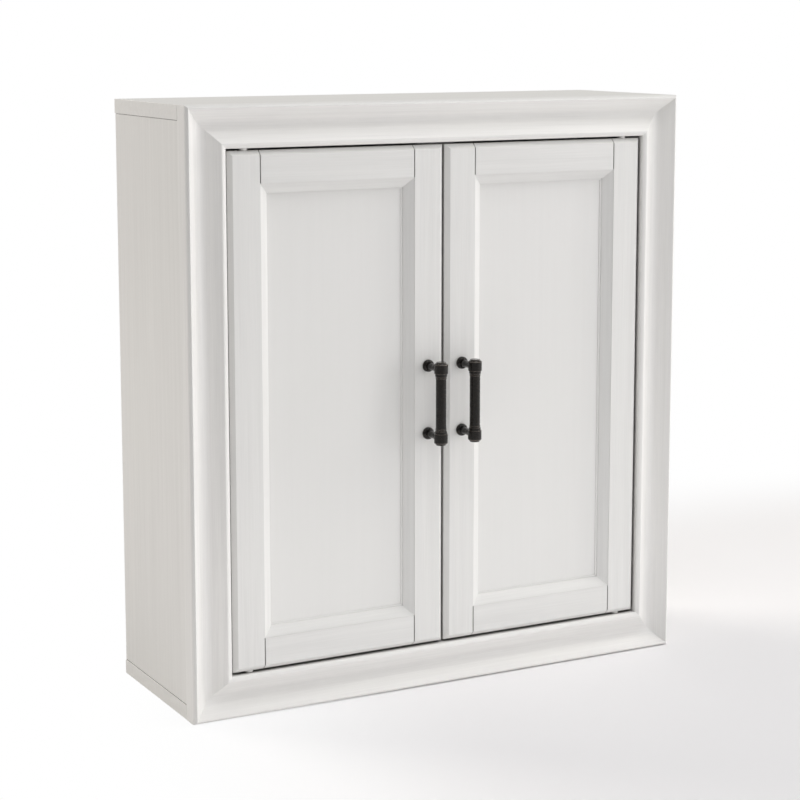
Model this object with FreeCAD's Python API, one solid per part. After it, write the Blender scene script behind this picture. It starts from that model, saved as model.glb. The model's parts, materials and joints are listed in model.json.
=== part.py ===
import FreeCAD, Part
import math
import os

# A two-door hanging wall cabinet in painted wood: a carcass of flat boards, a mitred
# cove-moulded frame on its front, and two inset five-piece doors on pivot pins.
# X is to the right, Y towards the wall and Z up. The origin is on the wall plane,
# midway between the two upper wall screws. Depths are measured forward from the wall,
# so y = -depth, and heights are measured up from the underside of the bottom board.

V = FreeCAD.Vector

# Carcass
WIDTH = 615.0
HEIGHT = 660.0
BOARD = 16.0
CARCASS_DEPTH = 184.0
SIDE_INSET = 0.8
ARRIS = 0.6
BACK_THICK = 3.0
REBATE = 8.0
REBATE_GAP = 0.5
RAIL_HEIGHT = 70.0
WALL_HOLE_SPACING = 406.4
WALL_HOLE_R = 3.0

# Shelf and its pegs
SHELF_END_GAP = 1.0
SHELF_BACK = 5.0
SHELF_FRONT = 165.0
PEG_ROWS = (256.0, 320.0, 384.0)
PEG_ROW_USED = 320.0
PEG_DEPTHS = (40.0, 130.0)
PEG_R = 2.5
PEG_IN = 9.0
PEG_OUT = 8.0
PEG_COLLAR_R = 3.5
PEG_COLLAR = 0.8

# Cam fittings, dowels and nails
CAM_DEPTHS = (36.0, 148.0)
CAM_R = 7.5
CAM_LENGTH = 12.0
CAM_SETBACK = 34.0
CAM_SLOT_HALF = 4.5
CAM_SLOT_HALF_WIDE = 0.7
CAM_SLOT_DEEP = 1.5
CAM_POCKET_PLAY = 0.3
BOLT_R = 3.0
BOLT_THREAD = 11.0
BOLT_HEAD_R = 3.5
BOLT_HEAD = 3.5
BOLT_BORE_R = 3.6
BOARD_DOWEL_DEPTHS = (64.0, 120.0)
BOARD_DOWEL_R = 4.0
BOARD_DOWEL_IN_BOARD = 12.0
BOARD_DOWEL_IN_SIDE = 18.0
SMALL_DOWEL_R = 3.0
RAIL_DOWEL_IN_SIDE = 10.0
RAIL_DOWEL_IN_RAIL = 14.0
FRAME_DOWEL_IN_BOARD = 12.0
FRAME_DOWEL_IN_FRAME = 10.0
FRAME_DOWEL_HEIGHTS = (110.0, 257.0, 403.0, 550.0)
FRAME_DOWEL_XS = (-200.0, 0.0, 200.0)
NAIL_R = 0.7
NAIL_LENGTH = 16.0
NAIL_HEAD_R = 2.2
NAIL_HEAD = 0.8
NAIL_INSET = 4.0
NAIL_HEIGHTS = (180.0, 330.0, 480.0)
NAIL_XS = (-240.0, 0.0, 240.0)

# Cove-moulded frame on the front of the carcass
MEMBER = 46.0
FRAME_THICK = 23.4
CREST_AT = 3.2
CREST_R = 1.0
OUTER_SLOPE = math.radians(39.0)
CREST_SLOPE = math.radians(42.0)
COVE_DEPTH = 13.5
COVE_AT = 22.0
COVE_R = 10.0
BEAD_AT = 41.0
BEAD_BELOW_CREST = 2.1
BEAD_R = 1.5
BEAD_SLOPE = math.radians(37.0)
BEAD_INNER_R = 6.0
KEY_SIZE = 16.0
KEY_THICK = 3.0
KEY_FROM_BACK = 4.0
KEY_INSET = 17.0

# Doors
GAP = 2.5
MEETING_GAP = 3.0
DOOR_THICK = 19.0
DOOR_CHAMFER = 5.0
STILE_FLAT = 36.5
RAIL_FLAT = 35.0
STICKING = 13.0
STICKING_STEP = 0.9
STICKING_FLAT = 0.7
STICKING_LEDGE = 2.2
STICKING_BULGE = 0.5
PANEL_RECESS = 10.0
PANEL_THICK = 5.0
PANEL_IN_GROOVE = 8.0
PANEL_PLAY = 0.5
TENON = 10.0
TENON_SHOULDER = 8.0
JOINT_V_HALF = 0.55
JOINT_V_DEPTH = 0.9

# Pivot hinges at the top and bottom of each door's hinge stile
PIVOT_INSET = 21.0
PIN_R = 2.5
PIN_IN_FRAME = 12.0
PIN_IN_DOOR = 11.0
PIN_PLAY = 0.05
BUSH_R = 4.0
BUSH_LENGTH = 12.0
BUSH_FLANGE_R = 4.6
BUSH_FLANGE = 2.2

# Magnetic catch behind the top of the frame, and the doors' strike plates
CATCH_HALF = 24.0
CATCH_THICK = 12.0
CATCH_ABOVE = 18.0
CATCH_BELOW = 22.0
CATCH_SETBACK = 2.1
MAGNET_X = 13.0
MAGNET_WIDE = 14.0
MAGNET_TALL = 10.0
MAGNET_THICK = 6.0
MAGNET_PROUD = 0.4
STRIKE_WIDE = 18.0
STRIKE_TALL = 12.0
STRIKE_THICK = 1.2
STRIKE_DROP = 11.5
STRIKE_EDGE = 0.4
CATCH_SCREW_X = 18.0
CATCH_SCREW_RISE = 9.0
CATCH_SCREW_R = 1.7
CATCH_SCREW_HEAD_R = 3.4
CATCH_SCREW_HEAD = 2.0
CATCH_SCREW_BITE = 8.0
STRIKE_SCREW_R = 1.4
STRIKE_SCREW_HEAD_R = 2.6
STRIKE_SCREW_BITE = 10.0

# Bar pulls on the meeting stiles
PULL_X = 21.5
PULL_HEIGHT = 329.0
PULL_CENTRES = 76.2
PULL_AXIS = 30.0
BAR_R = 5.5
BAR_NECK_R = 5.3
CAP_R = 7.6
CAP_LENGTH = 11.6
CAP_OFFSET = 1.2
CAP_CHAMFER = 1.4
CAP_EDGE = 0.5
CAP_BORE_R = 4.0
SPIGOT = 8.0
LID_R = 5.4
LID = 1.2
LID_EDGE = 0.4
COLLAR_R = 6.5
COLLAR = 3.2
COLLAR_EDGE = 0.5
RING_R = 5.9
RING = 1.3
RING_EDGE = 0.3
RING_GAP = 1.0
POST_R = 4.0
POST_IN_CAP = 3.0
ROSETTE_R = 6.7
ROSETTE_RIM = 1.4
ROSETTE_HEIGHT = 5.0
ROSETTE_EDGE = 0.4
ROSETTE_FULLNESS = 0.72
PULL_SCREW_R = 2.0
PULL_SCREW_BORE_R = 2.25
PULL_SCREW_BITE = 8.0
PULL_SCREW_HEAD_R = 4.0
PULL_SCREW_HEAD = 2.4

# Sizes worked out from the ones above
HANG = HEIGHT - BOARD - RAIL_HEIGHT / 2
SIDE_OUT = WIDTH / 2 - SIDE_INSET
SIDE_IN = SIDE_OUT - BOARD
SIDE_MID = SIDE_OUT - BOARD / 2
OPENING_HALF = WIDTH / 2 - MEMBER
OPENING_TOP = HEIGHT - MEMBER
DOOR_WIDTH = OPENING_HALF - GAP - MEETING_GAP / 2
DOOR_BOTTOM = MEMBER + GAP
DOOR_TOP = OPENING_TOP - GAP
DOOR_TALL = DOOR_TOP - DOOR_BOTTOM
DOOR_FACE = CARCASS_DEPTH + DOOR_THICK
DOOR_MID_X = MEETING_GAP / 2 + DOOR_WIDTH / 2
PANEL_FACE = DOOR_FACE - PANEL_RECESS
PIVOT_X = OPENING_HALF - GAP - PIVOT_INSET
PIVOT_DEPTH = CARCASS_DEPTH + DOOR_THICK / 2
CREST_DEPTH = CARCASS_DEPTH + FRAME_THICK
LOWER_RAIL_HOLE = BOARD + RAIL_HEIGHT / 2

RIGHT = V(1, 0, 0)
UP = V(0, 0, 1)
FRONT = V(0, -1, 0)


def at(x, depth, height):
    """A point from its place across, its depth from the wall and its height."""
    return V(x, -depth, height - HANG)


def block(x0, x1, depth0, depth1, height0, height1):
    corner = at(min(x0, x1), depth1, height0)
    return Part.makeBox(abs(x1 - x0), depth1 - depth0, height1 - height0, corner)


def rod(start, along, radius, length):
    return Part.makeCylinder(radius, length, start, along)


def cut(shape, tools):
    return shape.cut(Part.makeCompound(tools)) if tools else shape


def joined(shapes):
    whole = shapes[0].multiFuse(shapes[1:])
    return whole.removeSplitter()


def export(name, shape):
    shape.exportStep("parts/" + name + ".step")


def bevelled(shape, size, picks):
    """Bevels the straight edges whose two ends both satisfy picks."""
    edges = [edge for edge in shape.Edges if all(picks(v.Point) for v in edge.Vertexes)]
    return shape.makeChamfer(size, edges)


def outline(points, arcs):
    """A closed wire through points; arcs gives a middle point for each curved side."""
    sides = []
    for i, start in enumerate(points):
        end = points[(i + 1) % len(points)]
        if i in arcs:
            sides.append(Part.Arc(start, arcs[i], end).toShape())
        else:
            sides.append(Part.LineSegment(start, end).toShape())
    return Part.Wire(sides)


def mitred(points, arcs, length, reach, turn, centre):
    """One member of a mitred rectangle.

    points and arcs are (inset, depth) pairs of the section, length is the member's
    length at inset 0, reach is how far inset 0 lies from the centre, and turn is 0 for
    the bottom, 1 for the left, 2 for the top and 3 for the right member.
    """
    corners = [V(-length / 2, -depth, inset) for inset, depth in points]
    middles = {i: V(-length / 2, -depth, inset) for i, (inset, depth) in arcs.items()}
    prism = Part.Face(outline(corners, middles)).extrude(V(length, 0, 0))
    width = max(inset for inset, _ in points)
    deepest = max(depth for _, depth in points)
    wedge_points = [
        V(-length / 2, -deepest - 1, 0),
        V(length / 2, -deepest - 1, 0),
        V(length / 2 - width, -deepest - 1, width),
        V(width - length / 2, -deepest - 1, width),
    ]
    wedge = Part.Face(outline(wedge_points, {})).extrude(V(0, deepest + 1, 0))
    member = prism.common(wedge)
    member.translate(V(0, 0, -reach))
    member.rotate(V(0, 0, 0), V(0, 1, 0), 90 * turn)
    member.translate(centre)
    return member


def on_round(top, radius, angle):
    """A point on the round whose top is given, turned from the top by angle.

    A negative radius makes a hollow, whose lowest point is given instead.
    """
    inset, depth = top
    return inset + radius * math.sin(angle), depth - radius * (1 - math.cos(angle))


def frame_section():
    """The cove moulding's section: outer round, crest, slope, cove, slope, inner bead."""
    back = CARCASS_DEPTH
    crest = (CREST_AT, CREST_DEPTH)
    cove = (COVE_AT, CREST_DEPTH - COVE_DEPTH)
    bead = (BEAD_AT, CREST_DEPTH - BEAD_BELOW_CREST)
    inner = math.asin((MEMBER - BEAD_AT) / BEAD_INNER_R)
    outer_end = on_round(crest, CREST_R, -OUTER_SLOPE)
    outer_r = outer_end[0] / (1 - math.sin(OUTER_SLOPE))
    outer_top = (outer_r, outer_end[1] + outer_r * (1 - math.cos(OUTER_SLOPE)))
    points = [
        (ARRIS, back),
        (0, back + ARRIS),
        on_round(outer_top, outer_r, -math.pi / 2),
        outer_end,
        on_round(crest, CREST_R, CREST_SLOPE),
        on_round(cove, -COVE_R, CREST_SLOPE),
        on_round(cove, -COVE_R, -BEAD_SLOPE),
        on_round(bead, BEAD_R, -BEAD_SLOPE),
        bead,
        on_round(bead, BEAD_INNER_R, inner),
        (MEMBER, back),
    ]
    arcs = {
        2: on_round(outer_top, outer_r, -(OUTER_SLOPE + math.pi / 2) / 2),
        3: crest,
        5: cove,
        7: on_round(bead, BEAD_R, -BEAD_SLOPE / 2),
        8: on_round(bead, BEAD_INNER_R, inner / 2),
    }
    return points, arcs


def sticking_section():
    """The sloping edge of a stile or rail: step, long hollow slope, ledge, panel."""
    face = DOOR_FACE
    back = CARCASS_DEPTH
    start = (STICKING_FLAT, face - STICKING_STEP)
    end = (STICKING - STICKING_LEDGE, PANEL_FACE + 2 * STICKING_STEP)
    middle = [(a + b) / 2 + STICKING_BULGE for a, b in zip(start, end)]
    points = [
        (0, back),
        (0, face - STICKING_STEP),
        start,
        end,
        (end[0], PANEL_FACE + STICKING_STEP),
        (STICKING, PANEL_FACE + STICKING_STEP),
        (STICKING, back),
    ]
    return points, {2: middle}


# Places of the fittings, each used for the fitting itself and for its bores

SIDES = (-1, 1)
ENDS = (
    (BOARD, 1),
    (HEIGHT - BOARD, -1),
)


def cam_places():
    return [
        (side, joint, into, depth)
        for side in SIDES
        for joint, into in ENDS
        for depth in CAM_DEPTHS
    ]


def cam_bore(side, joint, into, depth):
    start = at(side * SIDE_IN, depth, joint + into * CAM_SETBACK)
    return rod(start, RIGHT * side, CAM_R, CAM_LENGTH)


def cam_lock(side, joint, into, depth):
    """A cam with a pocket for the bolt's head and a cross slot in its face."""
    centre = joint + into * CAM_SETBACK
    pocket = BOLT_HEAD_R + CAM_POCKET_PLAY
    near, far = side * (SIDE_MID - pocket), side * (SIDE_MID + pocket)
    low, high = sorted((centre + into * pocket, centre - into * CAM_R))
    room = block(near, far, depth - pocket, depth + pocket, low, high)
    slots = []
    for half_deep, half_tall in (
        (CAM_SLOT_HALF, CAM_SLOT_HALF_WIDE),
        (CAM_SLOT_HALF_WIDE, CAM_SLOT_HALF),
    ):
        x0, x1 = side * SIDE_IN, side * (SIDE_IN + CAM_SLOT_DEEP)
        low, high = centre - half_tall, centre + half_tall
        slots.append(block(x0, x1, depth - half_deep, depth + half_deep, low, high))
    return cut(cam_bore(side, joint, into, depth), [room] + slots)


def cam_bolt(side, joint, into, depth):
    start = at(side * SIDE_MID, depth, joint - into * BOLT_THREAD)
    shank_length = BOLT_THREAD + CAM_SETBACK - BOLT_HEAD / 2
    shank = rod(start, UP * into, BOLT_R, shank_length)
    head = rod(start + UP * (into * shank_length), UP * into, BOLT_HEAD_R, BOLT_HEAD)
    return joined([shank, head])


def cam_bolt_bore(side, joint, into, depth):
    return rod(at(side * SIDE_MID, depth, joint), UP * into, BOLT_BORE_R, CAM_SETBACK)


def board_dowels():
    length = BOARD_DOWEL_IN_BOARD + BOARD_DOWEL_IN_SIDE
    dowels = []
    for side in SIDES:
        for joint, into in ENDS:
            for depth in BOARD_DOWEL_DEPTHS:
                start = at(side * SIDE_MID, depth, joint - into * BOARD_DOWEL_IN_BOARD)
                dowels.append(rod(start, UP * into, BOARD_DOWEL_R, length))
    return dowels


def rail_dowels():
    length = RAIL_DOWEL_IN_SIDE + RAIL_DOWEL_IN_RAIL
    depth = BACK_THICK + BOARD / 2
    dowels = []
    for side in SIDES:
        x = side * (SIDE_IN - RAIL_DOWEL_IN_RAIL)
        for middle in (LOWER_RAIL_HOLE, HANG):
            for height in (middle - RAIL_HEIGHT / 4, middle + RAIL_HEIGHT / 4):
                dowels.append(rod(at(x, depth, height), RIGHT * side, SMALL_DOWEL_R, length))
    return dowels


def frame_dowels():
    length = FRAME_DOWEL_IN_BOARD + FRAME_DOWEL_IN_FRAME
    start = CARCASS_DEPTH - FRAME_DOWEL_IN_BOARD
    places = [(side * SIDE_MID, height) for side in SIDES for height in FRAME_DOWEL_HEIGHTS]
    places += [(x, height) for x in FRAME_DOWEL_XS for height in (BOARD / 2, HEIGHT - BOARD / 2)]
    return [rod(at(x, start, height), FRONT, SMALL_DOWEL_R, length) for x, height in places]


def back_nails():
    across = SIDE_IN + NAIL_INSET
    low = BOARD - NAIL_INSET
    high = HEIGHT - BOARD + NAIL_INSET
    places = [(side * across, height) for side in SIDES for height in NAIL_HEIGHTS]
    places += [(x, height) for x in NAIL_XS for height in (low, high)]
    nails = []
    for x, height in places:
        shank = rod(at(x, 0, height), FRONT, NAIL_R, NAIL_LENGTH)
        head = rod(at(x, 0, height), FRONT, NAIL_HEAD_R, NAIL_HEAD)
        nails.append(joined([shank, head]))
    return nails


def wall_holes():
    xs = (-WALL_HOLE_SPACING / 2, WALL_HOLE_SPACING / 2)
    length = BACK_THICK + BOARD
    heights = (LOWER_RAIL_HOLE, HANG)
    return [rod(at(x, 0, height), FRONT, WALL_HOLE_R, length) for x in xs for height in heights]


def shelf_peg_holes():
    return [
        rod(at(side * SIDE_IN, depth, height), RIGHT * side, PEG_R, PEG_IN)
        for side in SIDES
        for depth in PEG_DEPTHS
        for height in PEG_ROWS
    ]


def shelf_pegs():
    pegs = []
    for side in SIDES:
        for depth in PEG_DEPTHS:
            inner = at(side * (SIDE_IN - PEG_OUT), depth, PEG_ROW_USED)
            peg = rod(inner, RIGHT * side, PEG_R, PEG_IN + PEG_OUT)
            collar_start = at(side * (SIDE_IN - PEG_COLLAR), depth, PEG_ROW_USED)
            collar = rod(collar_start, RIGHT * side, PEG_COLLAR_R, PEG_COLLAR)
            pegs.append(joined([peg, collar]))
    return pegs


def back_panel_block(play):
    half = SIDE_IN + REBATE - REBATE_GAP + play
    low = BOARD - REBATE + REBATE_GAP - play
    high = HEIGHT - low
    return block(-half, half, 0, BACK_THICK, low, high)


def side_panel(side):
    panel = block(side * SIDE_IN, side * SIDE_OUT, 0, CARCASS_DEPTH, BOARD, HEIGHT - BOARD)
    panel = bevelled(panel, ARRIS, lambda p: abs(p.x) > SIDE_OUT - 0.1)
    tools = [back_panel_block(REBATE_GAP)]
    tools += [cam_bore(*place) for place in cam_places()]
    tools += [cam_bolt_bore(*place) for place in cam_places()]
    tools += board_dowels() + rail_dowels() + frame_dowels() + shelf_peg_holes() + back_nails()
    return cut(panel, tools)


def end_board(low):
    board = block(-WIDTH / 2, WIDTH / 2, 0, CARCASS_DEPTH, low, low + BOARD)
    board = bevelled(board, ARRIS, lambda p: abs(p.x) > WIDTH / 2 - 0.1)
    tools = [back_panel_block(REBATE_GAP)]
    tools += [cam_bolt(*place) for place in cam_places()]
    tools += board_dowels() + frame_dowels() + back_nails()
    return cut(board, tools)


def hanging_rail(middle):
    low = middle - RAIL_HEIGHT / 2
    rail = block(-SIDE_IN, SIDE_IN, BACK_THICK, BACK_THICK + BOARD, low, low + RAIL_HEIGHT)
    return cut(rail, rail_dowels() + wall_holes())


def export_carcass():
    export("left_side_panel", side_panel(-1))
    export("right_side_panel", side_panel(1))
    export("bottom_board", end_board(0))
    export("top_board", end_board(HEIGHT - BOARD))
    export("back_panel", cut(back_panel_block(0), back_nails() + wall_holes()))
    export("upper_hanging_rail", hanging_rail(HANG))
    export("lower_hanging_rail", hanging_rail(LOWER_RAIL_HOLE))
    shelf_half = SIDE_IN - SHELF_END_GAP
    shelf_low = PEG_ROW_USED + PEG_R
    shelf_top = shelf_low + BOARD
    export("shelf", block(-shelf_half, shelf_half, SHELF_BACK, SHELF_FRONT, shelf_low, shelf_top))
    export("shelf_pegs", Part.makeCompound(shelf_pegs()))
    export("cam_locks", Part.makeCompound([cam_lock(*place) for place in cam_places()]))
    export("cam_bolts", Part.makeCompound([cam_bolt(*place) for place in cam_places()]))
    export("board_dowels", Part.makeCompound(board_dowels()))
    export("rail_dowels", Part.makeCompound(rail_dowels()))
    export("frame_dowels", Part.makeCompound(frame_dowels()))
    export("back_nails", Part.makeCompound(back_nails()))


def corner_keys():
    """Flat square keys laid across the four mitres, near the back of the frame."""
    keys = []
    start = CARCASS_DEPTH + KEY_FROM_BACK
    for side in SIDES:
        for height in (KEY_INSET, HEIGHT - KEY_INSET):
            x = side * (WIDTH / 2 - KEY_INSET)
            half = KEY_SIZE / 2
            end = start + KEY_THICK
            key = block(x - half, x + half, start, end, height - half, height + half)
            key.rotate(at(x, start, height), V(0, 1, 0), 45)
            keys.append(key)
    return keys


def pivot_pins():
    length = PIN_IN_FRAME + GAP + PIN_IN_DOOR
    pins = []
    for side in SIDES:
        for height, into in ((MEMBER - PIN_IN_FRAME, 1), (OPENING_TOP + PIN_IN_FRAME, -1)):
            start = at(side * PIVOT_X, PIVOT_DEPTH, height)
            pins.append(rod(start, UP * into, PIN_R, length))
    return pins


def catch_screws():
    screws = []
    for side in SIDES:
        start = at(side * CATCH_SCREW_X, CARCASS_DEPTH - CATCH_THICK, OPENING_TOP + CATCH_SCREW_RISE)
        shank = rod(start, FRONT, CATCH_SCREW_R, CATCH_THICK + CATCH_SCREW_BITE)
        head = rod(start, FRONT * -1, CATCH_SCREW_HEAD_R, CATCH_SCREW_HEAD)
        screws.append(joined([shank, head]))
    return screws


def catch_magnets():
    face = CARCASS_DEPTH - CATCH_SETBACK + MAGNET_PROUD
    middle = DOOR_TOP - STRIKE_DROP
    low, high = middle - MAGNET_TALL / 2, middle + MAGNET_TALL / 2
    magnets = []
    for side in SIDES:
        x0, x1 = side * MAGNET_X - MAGNET_WIDE / 2, side * MAGNET_X + MAGNET_WIDE / 2
        magnets.append(block(x0, x1, face - MAGNET_THICK, face, low, high))
    return magnets


def catch_housing():
    back = CARCASS_DEPTH - CATCH_THICK
    top = OPENING_TOP + CATCH_ABOVE
    low = OPENING_TOP - CATCH_BELOW
    front = CARCASS_DEPTH - CATCH_SETBACK
    upper = block(-CATCH_HALF, CATCH_HALF, back, CARCASS_DEPTH, OPENING_TOP, top)
    lower = block(-CATCH_HALF, CATCH_HALF, back, front, low, OPENING_TOP)
    return cut(joined([upper, lower]), catch_magnets() + catch_screws())


def export_frame():
    points, arcs = frame_section()
    centre = at(0, 0, HEIGHT / 2)
    tools = frame_dowels() + corner_keys() + pivot_pins() + catch_screws()
    names = ("bottom_frame_member", "left_frame_member", "top_frame_member", "right_frame_member")
    for turn, name in enumerate(names):
        upright = turn % 2 == 1
        length = HEIGHT if upright else WIDTH
        reach = (WIDTH if upright else HEIGHT) / 2
        export(name, cut(mitred(points, arcs, length, reach, turn, centre), tools))
    export("frame_corner_keys", Part.makeCompound(corner_keys()))
    export("pivot_pins", Part.makeCompound(pivot_pins()))
    export("catch_housing", catch_housing())
    export("catch_magnets", Part.makeCompound(catch_magnets()))
    export("catch_screws", Part.makeCompound(catch_screws()))


# Doors: side is -1 for the left door and 1 for the right one, and reach is measured
# from the cabinet's middle plane


def door_block(side, reach0, reach1, depth0, depth1, height0, height1):
    return block(side * reach0, side * reach1, depth0, depth1, height0, height1)


def door_blank(side):
    """The whole door's outline with its front edges bevelled."""
    near = MEETING_GAP / 2
    far = near + DOOR_WIDTH
    blank = door_block(side, near, far, CARCASS_DEPTH, DOOR_FACE, DOOR_BOTTOM, DOOR_TOP)
    return bevelled(blank, DOOR_CHAMFER, lambda p: p.y < 0.1 - DOOR_FACE)


def tenons(side):
    """Stub tenons from both ends of both rails."""
    depth0 = PANEL_FACE - PANEL_THICK
    near = MEETING_GAP / 2 + STILE_FLAT
    far = MEETING_GAP / 2 + DOOR_WIDTH - STILE_FLAT
    heights = {
        "bottom": (DOOR_BOTTOM + TENON_SHOULDER, DOOR_BOTTOM + RAIL_FLAT),
        "top": (DOOR_TOP - RAIL_FLAT, DOOR_TOP - TENON_SHOULDER),
    }
    found = {}
    for end, (low, high) in heights.items():
        found[end] = [
            door_block(side, near - TENON, near, depth0, PANEL_FACE, low, high),
            door_block(side, far, far + TENON, depth0, PANEL_FACE, low, high),
        ]
    return found


def joint_grooves(side):
    """Fine V grooves in the face where the rails' shoulders meet the stiles."""
    near = MEETING_GAP / 2
    grooves = []
    for reach in (near + STILE_FLAT, near + DOOR_WIDTH - STILE_FLAT):
        for low in (DOOR_BOTTOM, DOOR_TOP - RAIL_FLAT):
            points = [
                at(side * reach - JOINT_V_HALF, DOOR_FACE, low),
                at(side * reach + JOINT_V_HALF, DOOR_FACE, low),
                at(side * reach, DOOR_FACE - JOINT_V_DEPTH, low),
            ]
            grooves.append(Part.Face(outline(points, {})).extrude(UP * RAIL_FLAT))
    return grooves


def panel_block(side, play):
    inset = STICKING - PANEL_IN_GROOVE
    near = MEETING_GAP / 2 + STILE_FLAT + inset - play
    far = MEETING_GAP / 2 + DOOR_WIDTH - STILE_FLAT - inset + play
    low = DOOR_BOTTOM + RAIL_FLAT + inset - play
    high = DOOR_TOP - RAIL_FLAT - inset + play
    return door_block(side, near, far, PANEL_FACE - PANEL_THICK, PANEL_FACE, low, high)


def pivot_bushes(side):
    """Flanged sleeves in the ends of the hinge stile, open to the pins."""
    bushes = []
    for end, into in ((DOOR_BOTTOM, 1), (DOOR_TOP, -1)):
        start = at(side * PIVOT_X, PIVOT_DEPTH, end)
        sleeve = rod(start, UP * into, BUSH_R, BUSH_LENGTH)
        flange = rod(start, UP * -into, BUSH_FLANGE_R, BUSH_FLANGE)
        bore_start = start - UP * (into * GAP)
        bore = rod(bore_start, UP * into, PIN_R + PIN_PLAY, GAP + BUSH_LENGTH)
        bushes.append(cut(joined([sleeve, flange]), [bore]))
    return bushes


def pivot_bush_bores(side):
    return [
        rod(at(side * PIVOT_X, PIVOT_DEPTH, end), UP * into, BUSH_R, BUSH_LENGTH)
        for end, into in ((DOOR_BOTTOM, 1), (DOOR_TOP, -1))
    ]


def strike_screw(side):
    start = at(side * MAGNET_X, CARCASS_DEPTH - STRIKE_THICK, DOOR_TOP - STRIKE_DROP)
    head = rod(start, FRONT, STRIKE_SCREW_HEAD_R, STRIKE_THICK)
    shank = rod(start, FRONT, STRIKE_SCREW_R, STRIKE_THICK + STRIKE_SCREW_BITE)
    return joined([head, shank])


def strike_plate(side):
    middle = DOOR_TOP - STRIKE_DROP
    near, far = MAGNET_X - STRIKE_WIDE / 2, MAGNET_X + STRIKE_WIDE / 2
    low, high = middle - STRIKE_TALL / 2, middle + STRIKE_TALL / 2
    back = CARCASS_DEPTH - STRIKE_THICK
    plate = door_block(side, near, far, back, CARCASS_DEPTH, low, high)
    plate = bevelled(plate, STRIKE_EDGE, lambda p: p.y > 0.1 - CARCASS_DEPTH)
    return cut(plate, [strike_screw(side)])


# Pulls: each end is built along the bar's axis, with away = 1 at the top and -1 below

PULL_ENDS = (-1, 1)


def pull_post_height(away):
    return PULL_HEIGHT + away * PULL_CENTRES / 2


def turned(side, profile, away):
    """A solid of revolution about the bar's axis from (radius, distance) pairs."""
    points = [at(radius, 0, HANG + away * distance) for radius, distance in profile]
    solid = Part.Face(outline(points, {})).revolve(V(0, 0, 0), UP, 360)
    solid.translate(at(side * PULL_X, DOOR_FACE + PULL_AXIS, PULL_HEIGHT))
    return solid


def cap_inner():
    return PULL_CENTRES / 2 + CAP_OFFSET - CAP_LENGTH / 2


def pull_bar(side):
    """A plain bar with a collar, a fine ring and a spigot at each end."""
    inner = cap_inner()
    collar = inner - COLLAR
    ring_end = collar - RING_GAP
    ring_start = ring_end - RING
    half = [
        (0, 0),
        (BAR_R, 0),
        (BAR_R, ring_start),
        (RING_R, ring_start + RING_EDGE),
        (RING_R, ring_end - RING_EDGE),
        (BAR_NECK_R, ring_end),
        (BAR_NECK_R, collar),
        (COLLAR_R - COLLAR_EDGE, collar),
        (COLLAR_R, collar + COLLAR_EDGE),
        (COLLAR_R, inner - COLLAR_EDGE),
        (COLLAR_R - COLLAR_EDGE, inner),
        (CAP_BORE_R, inner),
        (CAP_BORE_R, inner + SPIGOT),
        (0, inner + SPIGOT),
    ]
    return joined([turned(side, half, away) for away in PULL_ENDS])


def pull_post(side, away):
    """A round post from the door's face to its cap, with a spigot into the cap."""
    height = pull_post_height(away)
    start = at(side * PULL_X, DOOR_FACE, height)
    shoulder = PULL_AXIS - CAP_R + POST_IN_CAP
    post = rod(start, FRONT, POST_R, shoulder)
    bore = rod(start, FRONT, PULL_SCREW_R, PULL_SCREW_BITE)
    return cut(post, [bore])


def pull_cap(side, away):
    """A cap with a bevelled end and a low lid, bored for the bar and the post."""
    inner = cap_inner()
    outer = inner + CAP_LENGTH
    profile = [
        (0, inner),
        (CAP_R - CAP_EDGE, inner),
        (CAP_R, inner + CAP_EDGE),
        (CAP_R, outer - CAP_CHAMFER),
        (CAP_R - CAP_CHAMFER, outer),
        (LID_R, outer),
        (LID_R, outer + LID - LID_EDGE),
        (LID_R - LID_EDGE, outer + LID),
        (0, outer + LID),
    ]
    cap = turned(side, profile, away)
    return cut(cap, [pull_bar(side), pull_post(side, away)])


def pull_rosette(side, away):
    """A domed rosette on the door's face around the post."""
    swell = ROSETTE_FULLNESS
    across = POST_R + swell * (ROSETTE_R - POST_R)
    proud = ROSETTE_RIM + swell * (ROSETTE_HEIGHT - ROSETTE_RIM)
    profile = [
        (POST_R, 0),
        (ROSETTE_R - ROSETTE_EDGE, 0),
        (ROSETTE_R, ROSETTE_EDGE),
        (ROSETTE_R, ROSETTE_RIM),
        (POST_R, ROSETTE_HEIGHT),
    ]
    points = [at(radius, distance, HANG) for radius, distance in profile]
    dome = {3: at(across, proud, HANG)}
    rosette = Part.Face(outline(points, dome)).revolve(V(0, 0, 0), V(0, 1, 0), 360)
    rosette.translate(at(side * PULL_X, DOOR_FACE, pull_post_height(away)))
    return rosette


def pull_screw(side, away):
    start = at(side * PULL_X, CARCASS_DEPTH, pull_post_height(away))
    shank = rod(start, FRONT, PULL_SCREW_R, DOOR_THICK + PULL_SCREW_BITE)
    head = rod(start, FRONT * -1, PULL_SCREW_HEAD_R, PULL_SCREW_HEAD)
    return joined([shank, head])


def pull_screw_bores(side):
    starts = [at(side * PULL_X, CARCASS_DEPTH, pull_post_height(away)) for away in PULL_ENDS]
    return [rod(start, FRONT, PULL_SCREW_BORE_R, DOOR_THICK) for start in starts]


def export_pull(side, name):
    export(name + "_pull_bar", pull_bar(side))
    for piece, make in (
        ("end_caps", pull_cap),
        ("posts", pull_post),
        ("rosettes", pull_rosette),
        ("screws", pull_screw),
    ):
        pair = [make(side, away) for away in PULL_ENDS]
        export(name + "_pull_" + piece, Part.makeCompound(pair))


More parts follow.
